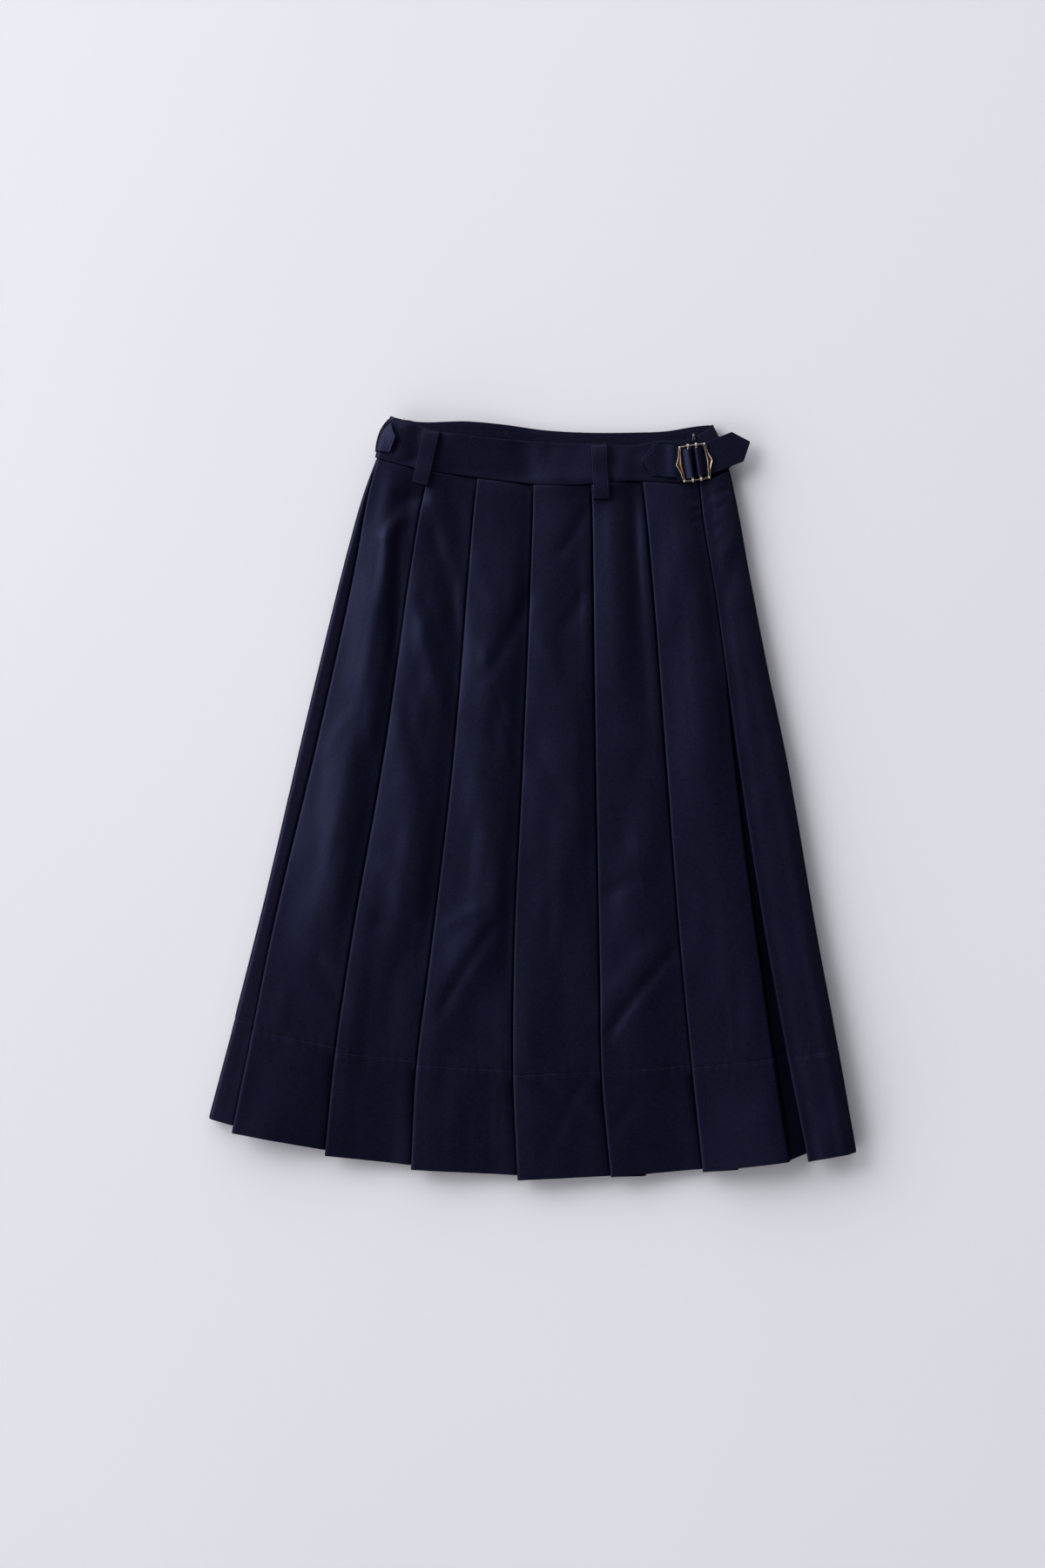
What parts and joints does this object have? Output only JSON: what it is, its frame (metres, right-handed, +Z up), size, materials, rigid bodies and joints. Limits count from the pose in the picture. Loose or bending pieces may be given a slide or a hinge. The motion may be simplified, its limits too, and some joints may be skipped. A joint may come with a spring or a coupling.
{
  "type": "pleated midi skirt",
  "caption": "Knife-pleated midi skirt laid flat on its back, with a plain waistband, belt loops, buckled side adjusters and a front pleat zip.",
  "frame": {"origin": "middle of the laid-out skirt's outline, on the surface that it lies on", "axes": "+X to the right of the front as seen, +Y from the hem up to the waistband, +Z up off the surface"},
  "size_m": [0.6711, 0.7914, 0.0264],
  "materials": {
    "navy_wool": "fine worsted suiting, matt with a faint sheen",
    "zip_tape": "woven polyester tape",
    "antique_silver": "cast zinc, plated antique silver and worn at the edges",
    "zip_metal": "satin"
  },
  "bodies": {
    "skirt": {"adjuster_left_strap": "navy_wool", "adjuster_left_tab": "navy_wool", "adjuster_right_strap": "navy_wool", "adjuster_right_tab": "navy_wool", "belt_loop_back_left": "navy_wool", "belt_loop_back_right": "navy_wool", "belt_loop_front_left": "navy_wool", "belt_loop_front_right": "navy_wool", "buckle_left_bar_1": "antique_silver", "buckle_left_bar_2": "antique_silver", "buckle_left_frame": "antique_silver", "buckle_right_bar_1": "antique_silver", "buckle_right_bar_2": "antique_silver", "buckle_right_frame": "antique_silver", "gore_back_10": "navy_wool", "gore_back_11": "navy_wool", "gore_back_12": "navy_wool", "gore_back_13": "navy_wool", "gore_back_14": "navy_wool", "gore_back_8": "navy_wool", "gore_back_9": "navy_wool", "gore_front_1": "navy_wool", "gore_front_2": "navy_wool", "gore_front_3": "navy_wool", "gore_front_4": "navy_wool", "gore_front_5": "navy_wool", "gore_front_6": "navy_wool", "gore_front_7": "navy_wool", "waistband_back": "navy_wool", "waistband_facing": "navy_wool", "waistband_front": "navy_wool", "zip_slider": "zip_metal", "zip_tape": "zip_tape"},
    "pull_tab": {"zip_pull": "zip_metal"}
  },
  "joints": [
    {"name": "pull_tab_hinge", "type": "hinge", "parent": "skirt", "child": "pull_tab", "pos_m": [0.1686, 0.3744, 0.01315], "axis": [-1, 0, 0], "range_deg": [0, 170]}
  ]
}
